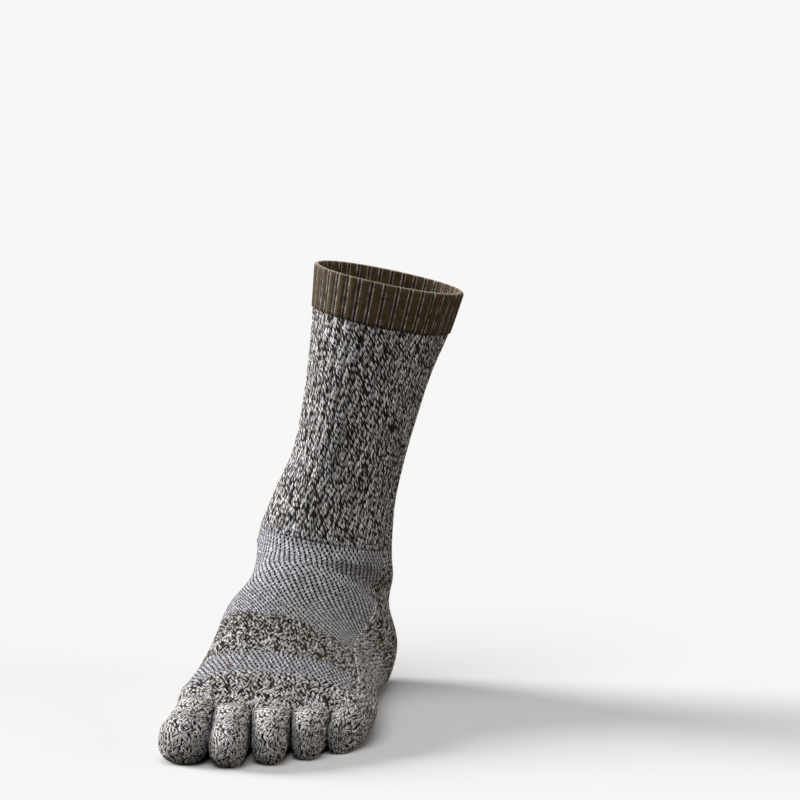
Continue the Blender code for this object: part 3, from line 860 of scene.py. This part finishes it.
CUFF_FOOT = place_at_height(SOCK_HEIGHT - CUFF_HEIGHT)
print("the cuff ends at place", round(CUFF_FOOT, 3))

# %% The leg
points = leg_points(even_places(CUFF_FOOT, ANKLE, 0.0, LEG_ROWS))
wales, courses = counts_of(points, WALE_COUNT)
normals = outward(points, True)
relief = rib_relief(wales, LEG_RIB_DEPTH) + wale_relief(wales)
points = points + normals * relief[..., None]
leg_mesh = lay_sheet("leg", points, wales, courses)
close_sheet(leg_mesh, points, normals)
leg = finish_piece("leg", leg_mesh, LEG_MARL)
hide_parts("leg")

# %% [markdown]
# A folded welt has two layers, so its wall is thicker than the leg's, and its rim is a round
# fold, not an edge. The sheet turns over the rim in small steps, and its ribs are only half as
# deep on the inside.

# %% The sheet of the cuff
CUFF_ROWS = 14
FOLD_STEPS = 9
INNER_RIBS = 0.5
tube = leg_points(np.linspace(CUFF_FOOT, 0.0, CUFF_ROWS))
normals = outward(tube[::-1], True)[::-1]
wales = np.linspace(0, WALE_COUNT, TUBE_COLUMNS + 1)
ribs = rib_relief(wales, CUFF_RIB_DEPTH)
outer = tube + normals * (CUFF_WALL - WALL + ribs + wale_relief(wales))[:, None]
inner = tube - normals * (WALL - INNER_RIBS * ribs)[:, None]
fold = []
for turn in np.radians(np.linspace(0, 180, FOLD_STEPS)[1:-1]):
    share = (1 - math.cos(turn)) / 2
    rise = np.array((0, 0, math.sin(turn) * CUFF_WALL / 2))
    fold.append(outer[-1] * (1 - share) + inner[-1] * share + rise)
ring = np.concatenate([outer, np.array(fold), inner[::-1], outer[:1]])
courses = running_length(ring) / COURSE_PITCH
fold_course = courses[len(outer) + len(fold) // 2].mean()
print("courses up to the fold:", round(fold_course, 2))

# %% The cuff
cuff_mesh = lay_sheet("cuff", ring, np.broadcast_to(wales, ring.shape[:2]), courses)
close_ring(cuff_mesh)
cuff = finish_piece("cuff", cuff_mesh, welt_knit("ribbed_welt", fold_course),
                    thickness=0)
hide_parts("cuff")

# %% [markdown]
# ## The toes and the forefoot
# Each toe is a pocket: flat-sided where it touches its neighbour, round on top, and blunt at
# the end. A capsule would be too round, so its sections are squared ovals that the sides of
# the next toe cut straight. The forefoot is the tube between the ball and the toes' roots.

# %% Sizes of the toes
# Edges are places across the foot, in shares of its width, from its middle. Reaches are shares
# of its length, and heights are shares of the toe height.
Toe = namedtuple("Toe", "name root_edge tip_edge root_reach tip_reach root_height pad_height")
TOES = [
    Toe("big_toe", -0.464, -0.465, 0.832, 0.990, 0.94, 0.80),
    Toe("second_toe", -0.240, -0.181, 0.848, 1.000, 0.86, 0.74),
    Toe("third_toe", -0.045, 0.022, 0.846, 0.955, 0.82, 0.72),
    Toe("fourth_toe", 0.150, 0.192, 0.828, 0.896, 0.78, 0.69),
    Toe("little_toe", 0.330, 0.325, 0.784, 0.826, 0.78, 0.66),
]
OUTER_EDGE = (0.505, 0.428, 0.740)
# Place along the toe, height of the crotch sides, share of the pad's height, lift below
TOE_SECTIONS = np.array([
    (0.00, 0.64, 0.00, 0.03),
    (0.12, 0.50, 0.14, 0.03),
    (0.28, 0.25, 0.50, 0.00),
    (0.45, 0.08, 0.90, -0.03),
    (0.60, 0.00, 1.00, -0.04),
])
TOE_SQUARENESS = 2.3
TOE_MIDDLE = 0.46
TOE_CAP_START = 0.60
TOE_TIP_HEIGHT = 0.34
ARC_SAMPLES = 90

# Where each toe begins across the foot, at its root and its tip, and how far out its root lies
TOE_EDGES = np.array([(toe.root_edge, toe.tip_edge, toe.root_reach) for toe in TOES]
                     + [OUTER_EDGE]) * (FOOT_WIDTH, FOOT_WIDTH, FOOT_LENGTH)
print("edges of the toes in mm:", (TOE_EDGES * 1000).round(1).tolist())


# %% One section of a toe
def toe_halves(number, place, scale, side_height=None):
    """The arcs over the top and underneath at a place, both from the big toe's side."""
    _, crotch, pad_share, lift = [np.interp(place, TOE_SECTIONS[:, 0], TOE_SECTIONS[:, k])
                                  for k in range(4)]
    if side_height is not None:
        crotch = side_height
    toe = TOES[number]
    inner_edge, outer_edge = TOE_EDGES[number], TOE_EDGES[number + 1]
    low_x = inner_edge[0] + (inner_edge[1] - inner_edge[0]) * place
    high_x = outer_edge[0] + (outer_edge[1] - outer_edge[0]) * place
    height = (toe.root_height + (toe.pad_height - toe.root_height) * pad_share) * TOE_HEIGHT
    bottom = lift * TOE_HEIGHT
    middle = bottom + (height - bottom) * TOE_MIDDLE
    level = TOE_TIP_HEIGHT * TOE_HEIGHT * (1 - scale) + middle * scale
    half = ((high_x - low_x) / 2 - TOE_GAP / 2) * scale
    angles = np.linspace(-math.pi / 2, math.pi / 2, ARC_SAMPLES)
    across = signed_power(np.sin(angles), TOE_SQUARENESS)
    arch = np.abs(signed_power(np.cos(angles), TOE_SQUARENESS))
    outer_side = ((number == 0) & (angles < 0)) | ((number == len(TOES) - 1) & (angles > 0))
    x = (low_x + high_x) / 2 + across * half
    root_reach = inner_edge[2] + (outer_edge[2] - inner_edge[2]) * (x - low_x) / (high_x - low_x)
    y = FOOT_LENGTH / 2 - (root_reach + (toe.tip_reach * FOOT_LENGTH - root_reach) * place)
    halves = []
    for upward, full_height in ((1, height - middle), (-1, middle - bottom)):
        flank = np.where(outer_side, 0.0, crotch)
        rise = full_height * scale * (flank + (1 - flank) * arch)
        halves.append(np.stack([x, y, np.maximum(level + upward * rise, 0.0)], axis=1))
    return halves


def toe_ring(number, place, scale, columns):
    top, bottom = toe_halves(number, place, scale)
    under = bottom[::-1]
    half = ARC_SAMPLES // 2
    ring = np.concatenate([under[half:], top, under[:half + 1]])
    return even_line(ring, columns)


# %% [markdown]
# A toe pocket is knitted to its blunt tip and closed there. Its courses count from the tip
# back, over the top and underneath, so the rows run round the end as they do on the real sock.

# %% Rows of a toe
TOE_ROWS = 0.0013
CAP_SAMPLES = 60


def toe_rows(number):
    """Places and scales down the toe, evenly spaced, the cap's included."""
    turns = np.radians(np.linspace(0, 90, CAP_SAMPLES + 1)[1:])
    cap = signed_power(np.sin(turns), TOE_SQUARENESS)
    shrink = signed_power(np.maximum(np.cos(turns), 0), TOE_SQUARENESS)
    places = np.concatenate([np.linspace(0, TOE_CAP_START, CAP_SAMPLES),
                             TOE_CAP_START + (1 - TOE_CAP_START) * cap])
    scales = np.concatenate([np.ones(CAP_SAMPLES), shrink])
    line = np.array([toe_halves(number, place, scale)[0][ARC_SAMPLES // 2]
                     for place, scale in zip(places, scales)])
    length = running_length(line)
    wanted = np.linspace(0, length[-1], int(length[-1] / TOE_ROWS) + 1)
    return np.interp(wanted, length, places), np.interp(wanted, length, scales)


print("rows of the big toe:", len(toe_rows(0)[0]))

# %% Stitch counts of a toe
TIP_LENGTH = 0.012
UNDER_SQUARENESS = 8


def toe_counts(points):
    """Wales across the toe and courses back from its tip, which close round the end."""
    columns = points.shape[1] - 1
    from_tip = running_length(points[::-1, columns // 2])[::-1][:, None]
    girths = np.linalg.norm(np.diff(points, axis=1), axis=2).sum(axis=1)[:, None]
    turn = np.linspace(-math.pi, math.pi, columns + 1)[None, :]
    from_side = np.where(np.abs(turn) <= math.pi / 2, turn,
                         np.sign(turn) * (math.pi - np.abs(turn)))
    near_tip = 1 - np.clip(from_tip / TIP_LENGTH, 0, 1)
    across = (near_tip * from_tip * np.sin(turn)
              + (1 - near_tip) * girths / (2 * math.pi) * from_side)
    up_or_under = (near_tip * np.cos(turn)
                   + (1 - near_tip) * signed_power(np.cos(turn), UNDER_SQUARENESS))
    return across / WALE_PITCH, (from_tip[0] - from_tip * up_or_under) / COURSE_PITCH


# %% The five toes
GIRTH_PLACE = 0.3
GIRTH_SAMPLES = 60
TOE_WALL = WALL * 0.6


def knit_toe(number):
    name = TOES[number].name
    girth = running_length(toe_ring(number, GIRTH_PLACE, 1.0, GIRTH_SAMPLES))[-1]
    columns = int(round(girth / WALE_PITCH)) * COLUMNS_PER_WALE
    points = np.array([toe_ring(number, place, scale, columns)
                       for place, scale in zip(*toe_rows(number))])
    wales, courses = toe_counts(points)
    mesh = lay_sheet(name, points, wales, courses)
    close_sheet(mesh, points, outward(points, True))
    piece = finish_piece(name, mesh, TOE_MARL, thickness=TOE_WALL)
    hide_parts(name)


for number in range(len(TOES)):
    knit_toe(number)


# %% [markdown]
# The forefoot has to close the gap between one oval and five toes. Its rows pass from the
# ball's section to the outline of the toe roots. The valleys between the toes come in late, so
# that the knuckles stay as one soft ridge.

# %% Rings of the forefoot
FOREFOOT_ROWS = 22
VALLEY_START_POWER = 10


def root_lines(valleys):
    """The line in which the five toes part, over the top and back underneath."""
    tops, bottoms = [], []
    for number in range(len(TOES)):
        top, bottom = toe_halves(number, 0.0, 1.0, None if valleys else 1.0)
        tops.append(top)
        bottoms.insert(0, bottom[::-1])
    return np.concatenate(tops), np.concatenate(bottoms)


def ball_line(line, above):
    """The points of the ball's section that lie behind the points of a line of toe roots."""
    form = blend_rows(BALL)
    squareness = form.square_top if above else form.square_bottom
    low, high = sorted((line[0, 0], line[-1, 0]))
    offset = line[:, 0] - form.middle
    share = np.where(offset > 0, offset / (high - form.middle), offset / (form.middle - low))
    share = np.clip(share, -1, 1)
    angles = np.arcsin(np.sign(share) * np.abs(share) ** (squareness / 2))
    return section(BALL, angles if above else math.pi - angles)


def closed_ring(top, bottom):
    return np.concatenate([top, bottom, top[:1]])


# %% The forefoot
top, bottom = root_lines(valleys=True)
roots = closed_ring(top, bottom)
filled = closed_ring(*root_lines(valleys=False))
balls = closed_ring(ball_line(top, True), ball_line(bottom, False))
rows = []
for share in np.linspace(0, 1, FOREFOOT_ROWS):
    eased = share * share * (3 - 2 * share)
    row = balls + (filled - balls) * eased + (roots - filled) * share ** VALLEY_START_POWER
    row[:, 1] = balls[:, 1] + (roots[:, 1] - balls[:, 1]) * share
    rows.append(even_line(row, TUBE_COLUMNS))
points = np.array(rows)
wales, courses = counts_of(points, WALE_COUNT)
normals = outward(points, True)
points = points + normals * wale_relief(wales)[..., None]
forefoot_mesh = lay_sheet("forefoot", points, wales, courses)
close_sheet(forefoot_mesh, points, normals)
forefoot = finish_piece("forefoot", forefoot_mesh, FOREFOOT_MARL,
                        thickness=TOE_WALL)
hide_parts("forefoot")

# %% [markdown]
# ## The studio
# The sock stands on a plain pale floor. A broad light from the left is the key, one from
# above lights the instep and the toes, and a weak warm one touches the right edge. Product
# photographs have dark surrounds and a white ground, so the floor and the backdrop look
# brighter to the camera than they light the sock.

# %% What the camera sees and what lights the sock
FLOOR_SIZE = 8.0
FLOOR_SEEN = (0.590, 0.590, 0.590)
FLOOR_LIT = (0.16, 0.15, 0.14)
BACKDROP_SEEN = 0.93
BACKDROP_LIT = 0.19


def for_the_camera(tree, seen, lit):
    """Mixes two shaders: one that the camera sees, one that lights the sock."""
    path = tree.nodes.new("ShaderNodeLightPath")
    choice = tree.nodes.new("ShaderNodeMixShader")
    tree.links.new(path.outputs["Is Camera Ray"], choice.inputs[0])
    tree.links.new(lit, choice.inputs[1])
    tree.links.new(seen, choice.inputs[2])
    return choice.outputs[0]


# %% The floor
bm = bmesh.new()
bmesh.ops.create_grid(bm, x_segments=1, y_segments=1, size=FLOOR_SIZE / 2)
floor_mesh = bpy.data.meshes.new("floor")
bm.to_mesh(floor_mesh)
bm.free()
floor = bpy.data.objects.new("floor", floor_mesh)
bpy.context.scene.collection.objects.link(floor)
paper = bpy.data.materials.new("pale_floor")
paper.use_nodes = True
tree = paper.node_tree
tree.nodes.remove(tree.nodes["Principled BSDF"])
sides = []
for tone in (FLOOR_SEEN, FLOOR_LIT):
    matt = tree.nodes.new("ShaderNodeBsdfDiffuse")
    matt.inputs["Color"].default_value = (*tone, 1.0)
    sides.append(matt.outputs[0])
tree.links.new(for_the_camera(tree, *sides), tree.nodes["Material Output"].inputs[0])
floor.data.materials.append(paper)
print("floor", FLOOR_SIZE, "m square")

# %% The backdrop
world = bpy.data.worlds.new("studio")
world.use_nodes = True
tree = world.node_tree
tree.nodes.remove(tree.nodes["Background"])
sides = []
for brightness in (BACKDROP_SEEN, BACKDROP_LIT):
    backdrop = tree.nodes.new("ShaderNodeBackground")
    backdrop.inputs[0].default_value = (1.0, 1.0, 1.0, 1.0)
    backdrop.inputs[1].default_value = brightness
    sides.append(backdrop.outputs[0])
tree.links.new(for_the_camera(tree, *sides), tree.nodes["World Output"].inputs[0])
bpy.context.scene.world = world
bpy.context.scene.view_settings.view_transform = "Standard"
print("backdrop", BACKDROP_SEEN, "to the camera and", BACKDROP_LIT, "to the sock")


# %% Light
def lamp(name, towards_it, strength, softness, colour):
    """A far, broad lamp: its direction, strength, and how wide it looks in degrees."""
    light = bpy.data.lights.new(name, "SUN")
    light.energy = strength
    light.angle = math.radians(softness)
    light.color = colour
    holder = bpy.data.objects.new(name, light)
    holder.rotation_euler = Vector(towards_it).to_track_quat("Z", "Y").to_euler()
    bpy.context.scene.collection.objects.link(holder)


lamp("key", (-0.92, 0.14, 0.35), 6.4, 28, (1.0, 0.99, 0.98))
lamp("front", (-0.04, -0.45, 0.90), 2.1, 50, (1.0, 1.0, 1.0))
lamp("edge", (0.90, -0.10, 0.30), 0.8, 30, (1.0, 0.92, 0.82))
print("lamps:", [light.name for light in bpy.data.lights])

# %% [markdown]
# The camera stands where the photographer's stood: a little above the cuff's rim, slightly to
# the little toe's side, and far enough away that the sock looks almost flat.

# %% Camera
AZIMUTH, ELEVATION = math.radians(11.307), math.radians(5.644)
CAMERA_DISTANCE = 1.5
SHIFT_RIGHT = 0.05352
SHIFT_UP = 0.17018
camera_data = bpy.data.cameras.new("camera")
camera_data.sensor_width = 36.0
camera_data.lens = 126.53
camera = bpy.data.objects.new("camera", camera_data)
back = Vector((math.sin(AZIMUTH) * math.cos(ELEVATION), -math.cos(AZIMUTH) * math.cos(ELEVATION),
               math.sin(ELEVATION)))
right = Vector((math.cos(AZIMUTH), math.sin(AZIMUTH), 0.0))
camera.location = (back * CAMERA_DISTANCE + right * SHIFT_RIGHT + back.cross(right) * SHIFT_UP
                   - Vector(MIDDLE_OF_SOCK))
camera.rotation_euler = (math.pi / 2 - ELEVATION, 0.0, AZIMUTH)
bpy.context.scene.collection.objects.link(camera)
bpy.context.scene.camera = camera
print("camera at", [round(value, 4) for value in camera.location])
